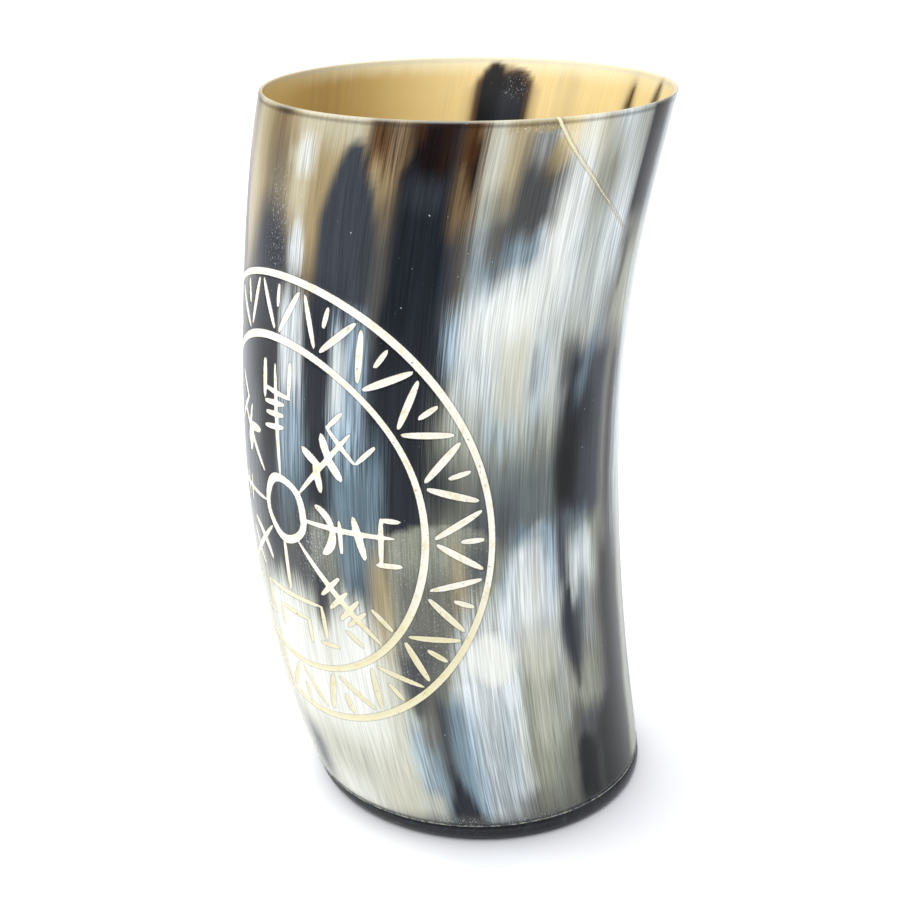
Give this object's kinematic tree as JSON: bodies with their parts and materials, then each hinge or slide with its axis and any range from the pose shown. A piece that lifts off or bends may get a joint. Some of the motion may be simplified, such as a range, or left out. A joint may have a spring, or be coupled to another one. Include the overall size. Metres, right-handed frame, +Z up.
{
  "type": "horn drinking cup",
  "caption": "Tall bowed drinking cup cut from a length of horn, open and thin-lipped at the top, with a glued dark horn base.",
  "frame": {"origin": "centre of the base disc's underside, on the surface that the cup stands on", "axes": "+Z up out of the mouth, -Y towards the side that the horn bulges to and that carries the carved roundel, X across the bow"},
  "size_m": [0.0864, 0.0865, 0.15],
  "materials": {
    "polished_horn": "polished cattle horn, streaked grey, navy black, cream and tan",
    "black_horn": "polished black horn",
    "adhesive": "cured pale adhesive with fine horn dust in it",
    "resin": "cured clear amber resin"
  },
  "bodies": {
    "root": {"horn_wall": "polished_horn", "base_disc": "black_horn", "glue_line": "adhesive", "inner_seal": "resin"}
  },
  "joints": []
}
